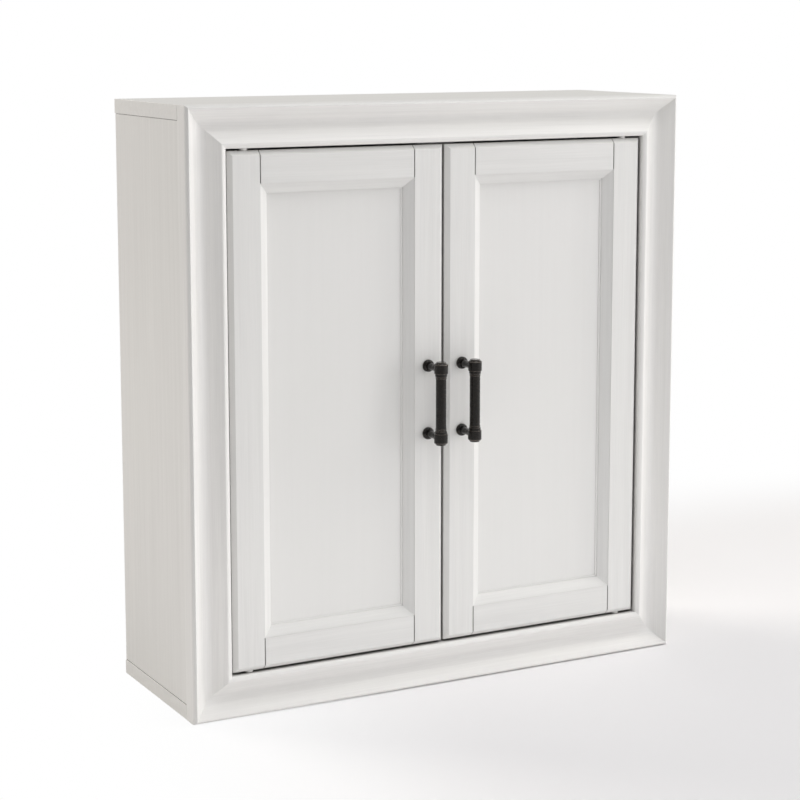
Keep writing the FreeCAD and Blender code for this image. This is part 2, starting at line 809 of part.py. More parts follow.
def sticking_edges(side):
    """The four mitred sloping edges around a door's panel, by their turn."""
    centre = at(side * DOOR_MID_X, 0, (DOOR_BOTTOM + DOOR_TOP) / 2)
    across = DOOR_WIDTH - 2 * STILE_FLAT
    upward = DOOR_TALL - 2 * RAIL_FLAT
    points, arcs = sticking_section()
    edges = []
    for turn in range(4):
        length, span = (upward, across) if turn % 2 else (across, upward)
        edges.append(mitred(points, arcs, length, span / 2, turn, centre))
    return edges


def export_door(side, name):
    near = MEETING_GAP / 2
    far = near + DOOR_WIDTH
    blank = door_blank(side)
    edges = sticking_edges(side)
    stub = tenons(side)
    rail_tools = joint_grooves(side) + [panel_block(side, PANEL_PLAY)]
    stile_tools = rail_tools + stub["top"] + stub["bottom"] + [strike_screw(side)]
    stile_tools += pivot_bush_bores(side) + pull_screw_bores(side)

    meeting_turn = 2 - side
    stiles = {
        "hinge_stile": (far - STILE_FLAT, far, 4 - meeting_turn),
        "meeting_stile": (near, near + STILE_FLAT, meeting_turn),
    }
    for piece, (reach0, reach1, turn) in stiles.items():
        limits = door_block(side, reach0, reach1, CARCASS_DEPTH, DOOR_FACE, DOOR_BOTTOM, DOOR_TOP)
        stile = joined([blank.common(limits), edges[turn]])
        export(name + "_door_" + piece, cut(stile, stile_tools))

    rails = {
        "bottom": (DOOR_BOTTOM, DOOR_BOTTOM + RAIL_FLAT, 0),
        "top": (DOOR_TOP - RAIL_FLAT, DOOR_TOP, 2),
    }
    inner, outer = near + STILE_FLAT, far - STILE_FLAT
    for end, (low, high, turn) in rails.items():
        limits = door_block(side, inner, outer, CARCASS_DEPTH, DOOR_FACE, low, high)
        rail = joined([blank.common(limits), edges[turn]] + stub[end])
        export(name + "_door_" + end + "_rail", cut(rail, rail_tools))

    export(name + "_door_panel", panel_block(side, 0))
    export(name + "_pivot_bushes", Part.makeCompound(pivot_bushes(side)))
    export(name + "_strike_plate", strike_plate(side))
    export(name + "_strike_screw", strike_screw(side))


os.makedirs("parts", exist_ok=True)
export_carcass()
export_frame()
for door_side, door_name in ((-1, "left"), (1, "right")):
    export_door(door_side, door_name)
    export_pull(door_side, door_name)
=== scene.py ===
import json
import math

import bmesh
import bpy
from mathutils import Matrix, Vector


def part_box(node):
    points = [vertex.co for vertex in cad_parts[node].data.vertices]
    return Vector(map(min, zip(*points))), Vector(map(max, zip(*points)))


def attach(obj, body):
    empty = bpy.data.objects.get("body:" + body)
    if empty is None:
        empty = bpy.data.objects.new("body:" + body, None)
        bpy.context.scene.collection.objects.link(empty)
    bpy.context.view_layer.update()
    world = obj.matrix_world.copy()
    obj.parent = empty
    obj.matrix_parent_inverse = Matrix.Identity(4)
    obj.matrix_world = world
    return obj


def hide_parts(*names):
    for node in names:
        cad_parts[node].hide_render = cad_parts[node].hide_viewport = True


# Looks for a two-door wall cabinet in satin white paint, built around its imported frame.
# All lengths are in metres in the frame's own axes: X to the right, Y towards the wall
# and Z up. Depths are measured forward from the wall, so y = -depth, and heights are
# measured up from the underside of the bottom board. Sides are -1 (left) and 1 (right).

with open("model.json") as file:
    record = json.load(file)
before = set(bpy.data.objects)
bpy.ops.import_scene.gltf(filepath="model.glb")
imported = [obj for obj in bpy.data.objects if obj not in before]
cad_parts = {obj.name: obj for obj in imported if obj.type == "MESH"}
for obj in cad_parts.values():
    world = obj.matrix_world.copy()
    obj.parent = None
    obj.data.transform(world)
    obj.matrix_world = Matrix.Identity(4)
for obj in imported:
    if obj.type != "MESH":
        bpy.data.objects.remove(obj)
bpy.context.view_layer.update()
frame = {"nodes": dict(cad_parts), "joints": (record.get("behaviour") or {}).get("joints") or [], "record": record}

MM = 0.001
SMOOTH_ANGLE = math.radians(38)
ROUND_SEGMENTS = 48
FORWARD = Vector((0, -1, 0))
UP = Vector((0, 0, 1))

# Carcass, from the frame, with the eased edges and fine gaps that show at its joints
BOARD_LOW, BOARD_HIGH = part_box("bottom_board")
BASE = BOARD_LOW.z
WIDTH = BOARD_HIGH.x - BOARD_LOW.x
BOARD = BOARD_HIGH.z - BOARD_LOW.z
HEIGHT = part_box("top_board")[1].z - BASE
CARCASS_DEPTH = -BOARD_LOW.y
SIDE_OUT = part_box("right_side_panel")[1].x
SIDE_IN = SIDE_OUT - BOARD
SIDES = (-1, 1)
SIDE_NAMES = {-1: "left", 1: "right"}
HANGING_RAILS = ("lower_hanging_rail", "upper_hanging_rail")
ARRIS = 0.6 * MM
HAIRLINE = 0.3 * MM
FINE_EASE = 0.25 * MM
BORE_PLAY = 0.1 * MM

# Shelf pegs, cams, nails and screws
PEG_ROWS = (256 * MM, 320 * MM, 384 * MM)
PEG_ROW_USED = PEG_ROWS[1]
PEG_DEPTHS = (40 * MM, 130 * MM)
PEG_R = 2.5 * MM
PEG_IN = 9 * MM
PEG_OUT = 8 * MM
PEG_FLANGE_R = 3.5 * MM
PEG_FLANGE = 0.8 * MM
CAM_DEPTHS = (36 * MM, 148 * MM)
CAM_R = 7.5 * MM
CAM_LENGTH = 12 * MM
CAM_SETBACK = 34 * MM
WALL_HOLE_X = 203.2 * MM
WALL_HOLE_R = 3.0 * MM
NAIL_HEAD_R = 2.2 * MM
NAIL_HEAD = 0.8 * MM
NAIL_R = 0.7 * MM
NAIL_LENGTH = 16 * MM
NAIL_INSET = 4 * MM
NAIL_HEIGHTS = (180 * MM, 330 * MM, 480 * MM)
NAIL_XS = (-240 * MM, 0, 240 * MM)

# Cove-moulded frame
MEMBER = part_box("left_frame_member")[1].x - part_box("left_frame_member")[0].x
CREST_DEPTH = -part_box("left_frame_member")[0].y
CREST_AT = 3.2 * MM
CREST_R = 1.0 * MM
OUTER_SLOPE = math.radians(39)
CREST_SLOPE = math.radians(42)
COVE_DEPTH = 13.5 * MM
COVE_AT = 22.0 * MM
COVE_R = 10.0 * MM
BEAD_AT = 41.0 * MM
BEAD_BELOW_CREST = 2.1 * MM
BEAD_R = 1.5 * MM
BEAD_SLOPE = math.radians(37)
BEAD_INNER_R = 6.0 * MM

# Doors
GAP = 2.5 * MM
MEETING_GAP = 3.0 * MM
DOOR_THICK = 19.0 * MM
DOOR_CHAMFER = 5.0 * MM
STILE_FLAT = 36.5 * MM
RAIL_FLAT = 35.0 * MM
STICKING = 13.0 * MM
STICKING_STEP = 0.9 * MM
STICKING_FLAT = 0.7 * MM
STICKING_LEDGE = 2.2 * MM
STICKING_BULGE = 0.1 * MM
PANEL_RECESS = 10.0 * MM
PANEL_THICK = 5.0 * MM
PANEL_GROOVE = 8.5 * MM
JOINT_V_HALF = 0.55 * MM
JOINT_GAP = 0.55 * MM
DOOR_NEAR = MEETING_GAP / 2
DOOR_FAR = WIDTH / 2 - MEMBER - GAP
DOOR_BOTTOM = MEMBER + GAP
DOOR_TOP = HEIGHT - MEMBER - GAP
DOOR_FACE = CARCASS_DEPTH + DOOR_THICK
PIVOT_X = abs(frame["joints"][0]["pos_m"][0])
PIVOT_DEPTH = -frame["joints"][0]["pos_m"][1]

# Pivot hinges
PIN_R = 2.5 * MM
PIN_IN_FRAME = 12 * MM
PIN_IN_DOOR = 11 * MM
BUSH_BORE_R = 2.55 * MM
BUSH_R = 4.0 * MM
BUSH_LENGTH = 12.0 * MM
FLANGE_R = 4.6 * MM
FLANGE = 2.2 * MM

# Bar pulls
PULL_X = 21.5 * MM
PULL_HEIGHT = 329.0 * MM
PULL_CENTRES = 76.2 * MM
PULL_AXIS = 30.0 * MM
BAR_R = 5.8 * MM
RING_R = 6.2 * MM
RING = 1.3 * MM
NECK_R = 5.4 * MM
NECK = 1.0 * MM
COLLAR_R = 6.6 * MM
COLLAR = 3.2 * MM
TENON_R = 4.0 * MM
TENON = 8.0 * MM
CAP_R = 7.6 * MM
CAP_LENGTH = 11.6 * MM
CAP_OFFSET = 1.2 * MM
CAP_START = PULL_CENTRES / 2 + CAP_OFFSET - CAP_LENGTH / 2
CAP_CHAMFER = 1.4 * MM
CROWN = 1.2 * MM
POST_R = 4.0 * MM
POST_WAIST = 0.3 * MM
POST_SWELL = 1.3 * MM
ROSETTE_R = 6.9 * MM
ROSETTE_HEIGHT = 5.0 * MM
ROSETTE_RIM = 1.4 * MM

# Screws: shank radius, length, head radius, head height
PULL_SCREW = (2.0 * MM, 27.0 * MM, 4.0 * MM, 2.4 * MM)
CATCH_SCREW = (1.7 * MM, 20.0 * MM, 3.4 * MM, 2.0 * MM)
STRIKE_SCREW = (1.4 * MM, 11.2 * MM, 2.6 * MM, 1.2 * MM)

# Magnetic catch
CATCH_SETBACK = 2.1 * MM
CATCH_SCREW_X = 18.0 * MM
CATCH_SCREW_RISE = 9.0 * MM
MAGNET_X = 13.0 * MM
MAGNET_WIDE = 14.0 * MM

# Paint: how a texture is drawn out along each axis; and for the painted shade in narrow
# gaps and crevices, how near two surfaces are, how open it is from full shade to none, and the height where it may
# start
PLAIN = (1, 1, 1)
ALONG = {"x": (0.02, 1, 1), "z": (1, 1, 0.02)}
GAP_SHADE_REACH = 5.5 * MM
GAP_SHADE_OPEN = (0.25, 0.45)
SHADE_FREE_BASE = (BASE + 6 * MM, BASE + 9 * MM)

# Stage: the floor fades to white with distance from a place ahead of the cabinet and to
# its right, and a pale card of light lies on it in front of the cabinet
FLOOR_DROP = 0.2 * MM
FLOOR_HALF = 30
FADE_CENTRE = (0.7, -0.6)
FADE = (0.7, 1.2)
WORLD_LIGHT = 0.30
CARD_SIZE = (0.9, 0.62)
CARD_AHEAD = 0.41
CARD_RISE = 4 * MM
CARD_POWER = 0.6

# Camera: heading, downward tilt and roll, lens and place
YAW, PITCH, ROLL = 0.4908, 0.1446, 0.0005
SENSOR = 36
LENS = 92.446
VERTICAL_SHIFT = -0.10
CAMERA_PLACE = (-1.1079, -2.1703, 0.1364)


def at(x, depth, height):
    """A point from its place across, its depth from the wall and its height."""
    return Vector((x, -depth, BASE + height))


# ---- Mesh building ----


def rounded(points, radius, steps=3, closed=False, rubbed_lit=1):
    """A polyline of pairs with each corner replaced by a small curve.

    A third number follows each pair: its share of rubbed wear and painted highlight, given
    on an outward corner and 0 elsewhere.
    """
    found = []
    count = len(points)
    for i, (x, y) in enumerate(points):
        if not closed and i in (0, count - 1):
            found.append((x, y, 0))
            continue
        before, after = points[i - 1], points[(i + 1) % count]
        arms = []
        for other in (before, after):
            dx, dy = other[0] - x, other[1] - y
            length = math.hypot(dx, dy)
            reach = min(radius, 0.45 * length)
            arms.append((x + dx / length * reach, y + dy / length * reach))
        turn = (x - before[0]) * (after[1] - y) - (y - before[1]) * (after[0] - x)
        for step in range(steps + 1):
            t = step / steps
            weights = ((1 - t) ** 2, 2 * t * (1 - t), t**2)
            corners = (arms[0], (x, y), arms[1])
            wear_lit = rubbed_lit if 0 < step < steps and turn > 0 else 0
            x_now, y_now = (sum(w * c[k] for w, c in zip(weights, corners)) for k in (0, 1))
            found.append((x_now, y_now, wear_lit))
    return found


def on_round(top, radius, start, end, steps):
    """Points of a round whose top is given, between two angles from the top.

    A negative radius makes a hollow, whose lowest point is given instead.
    """
    points = []
    for i in range(steps + 1):
        angle = start + (end - start) * i / steps
        rise = radius * (1 - math.cos(angle))
        points.append((top[0] + radius * math.sin(angle), top[1] - rise))
    return points


def solid(polygons):
    """A closed mesh from its faces, each a list of points."""
    bm = bmesh.new()
    for polygon in polygons:
        bm.faces.new([bm.verts.new(point) for point in polygon])
    bmesh.ops.remove_doubles(bm, verts=bm.verts, dist=1e-6)
    bmesh.ops.recalc_face_normals(bm, faces=bm.faces)
    return bm


def block(low, high):
    """A closed box between two corners."""
    bm = bmesh.new()
    size = Vector(high) - Vector(low)
    matrix = Matrix.Translation((Vector(low) + Vector(high)) / 2) @ Matrix.Diagonal((*size, 1))
    bmesh.ops.create_cube(bm, size=1, matrix=matrix)
    return bm


def ease(bm, width, picks=lambda edge: True, segments=3):
    """Rounds the sharp edges that picks chooses."""
    edges = [
        edge
        for edge in bm.edges
        if len(edge.link_faces) == 2 and edge.calc_face_angle() > SMOOTH_ANGLE and picks(edge)
    ]
    bmesh.ops.bevel(
        bm, geom=edges, offset=width, segments=segments, profile=0.5, affect="EDGES",
        clamp_overlap=True,
    )
    return bm


def turned(bm, profile, origin, axis, hollow=False, segments=ROUND_SEGMENTS):
    """Adds a solid of revolution from (radius, distance along the axis, wear and painted highlight) points."""
    wear_highlight = bm.verts.layers.float.get("wear_highlight") or bm.verts.layers.float.new("wear_highlight")
    axis = Vector(axis).normalized()
    side = axis.orthogonal().normalized()
    other = axis.cross(side)
    rings = []
    for radius, distance, *wear_lit in profile:
        centre = Vector(origin) + axis * distance
        if radius < 1e-9:
            rings.append([bm.verts.new(centre)])
            continue
        ring = []
        for i in range(segments):
            angle = 2 * math.pi * i / segments
            spoke = side * math.cos(angle) + other * math.sin(angle)
            ring.append(bm.verts.new(centre + spoke * radius))
            ring[-1][wear_highlight] = wear_lit[0] if wear_lit else 0
        rings.append(ring)
    following = rings[1:] + (rings[:1] if hollow else [])
    for a, b in zip(rings, following):
        for i in range(segments):
            j = (i + 1) % segments
            corners = [a[i % len(a)], a[j % len(a)], b[j % len(b)], b[i % len(b)]]
            corners = list(dict.fromkeys(corners))
            if len(corners) > 2:
                bm.faces.new(corners)
    bmesh.ops.recalc_face_normals(bm, faces=bm.faces)
    return bm


def rods(places, radius, length):
    """Plain rods from (start, direction) pairs, for cutting bores."""
    bm = bmesh.new()
    for start, axis in places:
        turned(bm, [(0, 0), (radius, 0), (radius, length), (0, length)], start, axis)
    return bm


def temporary(bm):
    """An object that holds the mesh while it is cut."""
    mesh = bpy.data.meshes.new("temporary")
    bm.to_mesh(mesh)
    bm.free()
    thing = bpy.data.objects.new("temporary", mesh)
    bpy.context.scene.collection.objects.link(thing)
    return thing


def carved(bm, *tools):
    """The mesh with each tool's shape cut out of it."""
    for tool in tools:
        body, cutter = temporary(bm), temporary(tool)
        modifier = body.modifiers.new("cut", "BOOLEAN")
        modifier.object = cutter
        modifier.solver = "EXACT"
        bpy.context.view_layer.update()
        bm = bmesh.new()
        bm.from_object(body, bpy.context.evaluated_depsgraph_get())
        for thing in (body, cutter):
            mesh = thing.data
            bpy.data.objects.remove(thing)
            bpy.data.meshes.remove(mesh)
    return bm


def merged(*parts):
    """One mesh from several."""
    whole = bmesh.new()
    for part in parts:
        mesh = bpy.data.meshes.new("part")
        part.to_mesh(mesh)
        part.free()
        whole.from_mesh(mesh)
        bpy.data.meshes.remove(mesh)
    return whole


def piece(name, bm, material, body, slot, *nodes):
    """Makes the finished piece, which stands for the named nodes."""
    mesh = bpy.data.meshes.new(name)
    bm.to_mesh(mesh)
    bm.free()
    mesh.shade_smooth()
    mesh.set_sharp_from_angle(angle=SMOOTH_ANGLE)
    mesh.materials.append(material)
    thing = bpy.data.objects.new(name, mesh)
    bpy.context.scene.collection.objects.link(thing)
    normals = thing.modifiers.new("normals", "WEIGHTED_NORMAL")
    normals.keep_sharp = True
    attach(thing, body)
    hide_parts(*nodes)
    return thing


# ---- Materials ----


def new_material(name, color, roughness, metallic=0.0):
    """A material with its node tree and its shader."""
    material = bpy.data.materials.new(name)
    material.use_nodes = True
    shader = material.node_tree.nodes["Principled BSDF"]
    shader.inputs["Base Color"].default_value = (*color, 1)
    shader.inputs["Roughness"].default_value = roughness
    shader.inputs["Metallic"].default_value = metallic
    return material, material.node_tree, shader


def noise(tree, vector, scale, detail=3.0, roughness=0.5):
    """A cloudy texture between 0 and 1."""
    node = tree.nodes.new("ShaderNodeTexNoise")
    node.inputs["Scale"].default_value = scale
    node.inputs["Detail"].default_value = detail
    node.inputs["Roughness"].default_value = roughness
    tree.links.new(vector, node.inputs["Vector"])
    return node.outputs["Fac"]


def stretched(tree, scale):
    """The object's own coordinates, scaled so that a texture is drawn out along one axis."""
    coordinates = tree.nodes.new("ShaderNodeTexCoord")
    mapping = tree.nodes.new("ShaderNodeMapping")
    mapping.inputs["Scale"].default_value = scale
    tree.links.new(coordinates.outputs["Object"], mapping.inputs["Vector"])
    return mapping.outputs["Vector"]


def remap(tree, value, low, high, to_low, to_high, curve="LINEAR"):
    """A number moved from one range to another."""
    node = tree.nodes.new("ShaderNodeMapRange")
    node.interpolation_type = curve
    for name, number in (
        ("From Min", low), ("From Max", high), ("To Min", to_low), ("To Max", to_high)
    ):
        node.inputs[name].default_value = number
    tree.links.new(value, node.inputs["Value"])
    return node.outputs["Result"]


def mix(tree, factor, first, second):
    """A colour between two, each a colour or another node's output."""
    node = tree.nodes.new("ShaderNodeMix")
    node.data_type = "RGBA"
    tree.links.new(factor, node.inputs["Factor"])
    for socket, value in ((node.inputs[6], first), (node.inputs[7], second)):
        if isinstance(value, tuple):
            socket.default_value = (*value, 1)
        else:
            tree.links.new(value, socket)
    return node.outputs[2]


def bump(tree, shader, height, strength, distance):
    """Fine relief on the shader's surface."""
    node = tree.nodes.new("ShaderNodeBump")
    node.inputs["Strength"].default_value = strength
    node.inputs["Distance"].default_value = distance
    tree.links.new(height, node.inputs["Height"])
    tree.links.new(node.outputs["Normal"], shader.inputs["Normal"])


def combine(tree, operation, first, second):
    """One number from two, by the named operation."""
    node = tree.nodes.new("ShaderNodeMath")
    node.operation = operation
    tree.links.new(first, node.inputs[0])
    tree.links.new(second, node.inputs[1])
    return node.outputs["Value"]


def add(tree, first, second, share):
    """first plus share of second."""
    node = tree.nodes.new("ShaderNodeMath")
    node.operation = "MULTIPLY_ADD"
    node.inputs[1].default_value = share
    tree.links.new(second, node.inputs[0])
    tree.links.new(first, node.inputs[2])
    return node.outputs["Value"]


def paint(name, axis, color, streak=0.06, relief=0.25):
    """Satin paint brushed along the grain: fine streaks in tone, gloss and relief.

    Painted shade darkens the paint deep in narrow gaps and crevices, but not round the bottom edges.
    """
    material, tree, shader = new_material(name, color, 0.45)
    vector = stretched(tree, ALONG[axis])
    broad = noise(tree, vector, 160, 4.0, 0.6)
    fine = noise(tree, vector, 900, 3.0, 0.6)
    cloud = noise(tree, stretched(tree, PLAIN), 5, 2.0)
    grain = add(tree, broad, fine, 0.6)
    darker = tuple(c * (1 - streak) for c in color)
    tone = mix(tree, remap(tree, grain, 0.62, 1.02, 0, 1), darker, color)
    tinted = tuple(c * k for c, k in zip(color, (0.975, 0.98, 0.97)))
    tone = mix(tree, remap(tree, cloud, 0.35, 0.75, 0, 0.6), tone, tinted)
    # Painted shade: ambient occlusion darkens the colour in narrow gaps and crevices, except near the base
    shade_ao = tree.nodes.new("ShaderNodeAmbientOcclusion")
    shade_ao.samples = 8
    shade_ao.inputs["Distance"].default_value = GAP_SHADE_REACH
    unshaded = remap(tree, shade_ao.outputs["AO"], *GAP_SHADE_OPEN, 0, 1)
    split = tree.nodes.new("ShaderNodeSeparateXYZ")
    tree.links.new(stretched(tree, PLAIN), split.inputs["Vector"])
    near_base = remap(tree, split.outputs["Z"], *SHADE_FREE_BASE, 1, 0)
    painted_gap_shade = tuple(c * k for c, k in zip(color, (0.22, 0.21, 0.20)))
    tone = mix(tree, combine(tree, "MAXIMUM", unshaded, near_base), painted_gap_shade, tone)
    tree.links.new(tone, shader.inputs["Base Color"])
    tree.links.new(remap(tree, grain, 0.5, 1.1, 0.52, 0.4), shader.inputs["Roughness"])
    bump(tree, shader, grain, relief, 0.00012)
    return material


def bronze():
    """Dark oil-rubbed bronze: an uneven brown patina, lighter along the outward edges, partly as rubbed wear and
    partly as a painted highlight.
    """
    color = (0.007, 0.0058, 0.0048)
    material, tree, shader = new_material("bronze", color, 0.32, 0.3)
    shader.inputs["Specular IOR Level"].default_value = 0.22
    shader.inputs["Coat Weight"].default_value = 0.3
    shader.inputs["Coat Roughness"].default_value = 0.1
    vector = stretched(tree, PLAIN)
    cloud = noise(tree, vector, 350, 4.0, 0.6)
    fine = noise(tree, vector, 2600, 2.0)
    tone = mix(tree, remap(tree, cloud, 0.4, 0.7, 0, 1), color, (0.014, 0.011, 0.008))
    # Painted highlight, partly rubbed wear: outward edges of turned parts are coloured lighter
    wear_highlight = tree.nodes.new("ShaderNodeAttribute")
    wear_highlight.attribute_name = "wear_highlight"
    edge_highlight_mask = combine(tree, "MULTIPLY", wear_highlight.outputs["Fac"], remap(tree, cloud, 0.35, 0.6, 0.45, 1))
    tone = mix(tree, edge_highlight_mask, tone, (0.20, 0.17, 0.145))
    tree.links.new(tone, shader.inputs["Base Color"])
    rough = remap(tree, cloud, 0.3, 0.7, 0.2, 0.33)
    tree.links.new(rough, shader.inputs["Roughness"])
    bump(tree, shader, fine, 0.08, 0.00006)
    return material


def metal(name, color, roughness, scale):
    """Plain metal with small spots in tone and gloss."""
    material, tree, shader = new_material(name, color, roughness, 1.0)
    spots = noise(tree, stretched(tree, PLAIN), scale, 4.0)
    tone = mix(tree, spots, tuple(c * 0.82 for c in color), color)
    tree.links.new(tone, shader.inputs["Base Color"])
    rough = remap(tree, spots, 0.3, 0.7, roughness - 0.06, roughness + 0.1)
    tree.links.new(rough, shader.inputs["Roughness"])
    bump(tree, shader, spots, 0.1, 0.00005)
    return material


def plastic(name, color, roughness):
    """Moulded plastic with a very fine grain."""
    material, tree, shader = new_material(name, color, roughness)
    grain = noise(tree, stretched(tree, PLAIN), 3500, 2.0)
    tone = mix(tree, grain, tuple(c * 0.96 for c in color), color)
    tree.links.new(tone, shader.inputs["Base Color"])
    rough = remap(tree, grain, 0.3, 0.7, roughness, roughness + 0.1)
    tree.links.new(rough, shader.inputs["Roughness"])
    bump(tree, shader, grain, 0.15, 0.00005)
    return material


def hardboard():
    """White-faced hardboard with a faint pressed texture."""
    color = (0.62, 0.61, 0.58)
    material, tree, shader = new_material("hardboard", color, 0.6)
    vector = stretched(tree, PLAIN)
    fibres = noise(tree, vector, 700, 5.0, 0.65)
    cloud = noise(tree, vector, 9, 3.0)
    tone = mix(tree, remap(tree, fibres, 0.35, 0.65, 0, 1), (0.57, 0.56, 0.53), color)
    tone = mix(tree, remap(tree, cloud, 0.3, 0.8, 0, 0.5), tone, (0.60, 0.60, 0.58))
    tree.links.new(tone, shader.inputs["Base Color"])
    tree.links.new(remap(tree, fibres, 0.3, 0.7, 0.55, 0.7), shader.inputs["Roughness"])
    bump(tree, shader, fibres, 0.25, 0.0001)
    return material


def beech():
    """Bare beech with short brown flecks along the grain."""
    color = (0.60, 0.40, 0.22)
    material, tree, shader = new_material("beech", color, 0.6)
    vector = stretched(tree, (1, 1, 0.12))
    flecks = noise(tree, vector, 1500, 3.0, 0.6)
    tone = mix(tree, remap(tree, flecks, 0.4, 0.65, 0, 1), color, (0.46, 0.28, 0.14))
    tree.links.new(tone, shader.inputs["Base Color"])
    tree.links.new(remap(tree, flecks, 0.3, 0.7, 0.52, 0.68), shader.inputs["Roughness"])
    bump(tree, shader, flecks, 0.2, 0.0001)
    return material


WHITE = (0.86, 0.848, 0.826)
WHITE_FRAME = (0.90, 0.888, 0.868)
WHITE_DOOR = (0.823, 0.816, 0.799)
WHITE_INSIDE = (0.86, 0.85, 0.835)
CARCASS_UP = paint("carcass_paint_up", "z", WHITE)
CARCASS_ACROSS = paint("carcass_paint_across", "x", WHITE)
FRAME_UP = paint("frame_paint_up", "z", WHITE_FRAME, 0.09)
FRAME_ACROSS = paint("frame_paint_across", "x", WHITE_FRAME, 0.09)
DOOR_UP = paint("door_paint_up", "z", WHITE_DOOR, 0.07)
DOOR_ACROSS = paint("door_paint_across", "x", WHITE_DOOR, 0.07)
PANEL = paint("panel_paint", "z", WHITE_DOOR, 0.015, 0.08)
INSIDE = paint("inside_paint", "x", WHITE_INSIDE, 0.03)
BRONZE = bronze()
ZINC = metal("zinc_steel", (0.62, 0.62, 0.60), 0.32, 900)
CASTING = metal("zinc_casting", (0.48, 0.48, 0.47), 0.5, 1800)
MAGNET = metal("magnet", (0.09, 0.09, 0.09), 0.55, 1200)
PLASTIC = plastic("white_plastic", (0.82, 0.81, 0.79), 0.42)
HARDBOARD = hardboard()
BEECH = beech()

CAD_MATERIALS = {
    "carcass_paint": CARCASS_UP,
    "frame_paint": FRAME_UP,
    "door_paint": DOOR_UP,
    "inside_paint": INSIDE,
    "hardboard": HARDBOARD,
    "beech": BEECH,
    "bronze": BRONZE,
    "zinc_steel": ZINC,
    "zinc_casting": CASTING,
    "magnet": MAGNET,
    "white_plastic": PLASTIC,
}
for subpart in frame["record"]["subparts"]:
    node = frame["nodes"][subpart["node"]]
    node.data.materials.clear()
    node.data.materials.append(CAD_MATERIALS[subpart["material_slot"]])


# ---- Carcass ----

# The joints with the bottom and top board, each with the way that leads off it
ENDS = ((BOARD, 1), (HEIGHT - BOARD, -1))


def rebate():
    """The room that the back panel takes, with a little play round its edges."""
    low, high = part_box("back_panel")
    play = Vector((0.5 * MM, 0, 0.5 * MM))
    return block(low - play, Vector((high.x, MM, high.z)) + play)


def facing_out(edge):
    """Edges of a board's outer ends, which show as fine grooves at the joints."""
    return all(abs(vert.co.x) > SIDE_OUT - 0.1 * MM for vert in edge.verts)


def cam_places(side):
    """Where the cams' faces lie on the inside of a side panel."""
    return [
        at(side * SIDE_IN, depth, joint + into * CAM_SETBACK)
        for joint, into in ENDS
        for depth in CAM_DEPTHS
    ]


def bored(places, direction, radius, length):
    """Cutters for holes of that length, each from a place on a surface."""
    direction = Vector(direction)
    return rods([(place - direction * MM, direction) for place in places], radius, length + MM)


def side_panel(side):
    """A side panel with its peg and cam holes, a hairline short of what it meets."""
    name = SIDE_NAMES[side] + "_side_panel"
    low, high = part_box(name)
    bm = block(low + Vector((0, HAIRLINE, HAIRLINE)), high - Vector((0, 0, HAIRLINE)))
    ease(bm, ARRIS, facing_out)
    pegs = [at(side * SIDE_IN, depth, row) for depth in PEG_DEPTHS for row in PEG_ROWS]
    outward = (side, 0, 0)
    bm = carved(
        bm,
        rebate(),
        bored(pegs, outward, PEG_R, PEG_IN),
        bored(cam_places(side), outward, CAM_R + BORE_PLAY, CAM_LENGTH),
    )
    piece(name + "_painted", bm, CARCASS_UP, "carcass", "carcass_paint", name)


def end_board(name):
    """The top or bottom board, a hairline short of the frame."""
    low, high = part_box(name)
    bm = block(low + Vector((0, HAIRLINE, 0)), high)
    ease(bm, ARRIS, facing_out)
    bm = carved(bm, rebate())
    piece(name + "_painted", bm, CARCASS_ACROSS, "carcass", "carcass_paint", name)


def nail_places():
    """Places across and heights of the nails, all round the back panel."""
    low = BOARD - NAIL_INSET
    places = [(side * (SIDE_IN + NAIL_INSET), height) for side in SIDES for height in NAIL_HEIGHTS]
    places += [(x, height) for x in NAIL_XS for height in (low, HEIGHT - low)]
    return places


def wall_holes(length):
    """Cutters for the wall screws' holes, through both hanging rails."""
    places = []
    for name in HANGING_RAILS:
        low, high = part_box(name)
        places += [Vector((side * WALL_HOLE_X, 0, (low.z + high.z) / 2)) for side in SIDES]
    return bored(places, FORWARD, WALL_HOLE_R, length)


def back_panel():
    """The back panel, with the wall screws' holes and recesses for the nails' heads."""
    bm = ease(block(*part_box("back_panel")), FINE_EASE)
    heads = [at(x, 0, height) for x, height in nail_places()]
    bm = carved(bm, wall_holes(9 * MM), bored(heads, FORWARD, NAIL_HEAD_R + BORE_PLAY, NAIL_HEAD))
    piece("back_panel_sheet", bm, HARDBOARD, "carcass", "hardboard", "back_panel")


def lengthwise(edge):
    """Edges that run along a rail."""
    return abs(edge.verts[0].co.x - edge.verts[1].co.x) > MM


def hanging_rails():
    """The two rails that the wall screws go through."""
    for name in HANGING_RAILS:
        bm = ease(block(*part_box(name)), 0.5 * MM, lengthwise)
        bm = carved(bm, wall_holes(29 * MM))
        piece(name + "_laminated", bm, INSIDE, "carcass", "inside_paint", name)


def shelf():
    """The loose shelf, its edges rounded."""
    bm = ease(block(*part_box("shelf")), 1.0 * MM)
    piece("shelf_laminated", bm, INSIDE, "carcass", "inside_paint", "shelf")


def shelf_pegs():
    """Four flanged pegs in the middle row of holes."""
    bm = bmesh.new()
    profile = [
        (0, -PEG_IN), (PEG_R, -PEG_IN), (PEG_R, 0), (PEG_FLANGE_R, 0), (PEG_FLANGE_R, PEG_FLANGE),
        (PEG_R, PEG_FLANGE), (PEG_R, PEG_OUT), (0, PEG_OUT),
    ]
    for side in SIDES:
        for depth in PEG_DEPTHS:
            turned(bm, rounded(profile, 0.4 * MM), at(side * SIDE_IN, depth, PEG_ROW_USED), (-side, 0, 0))
    piece("shelf_pegs_plated", bm, ZINC, "carcass", "zinc_steel", "shelf_pegs")


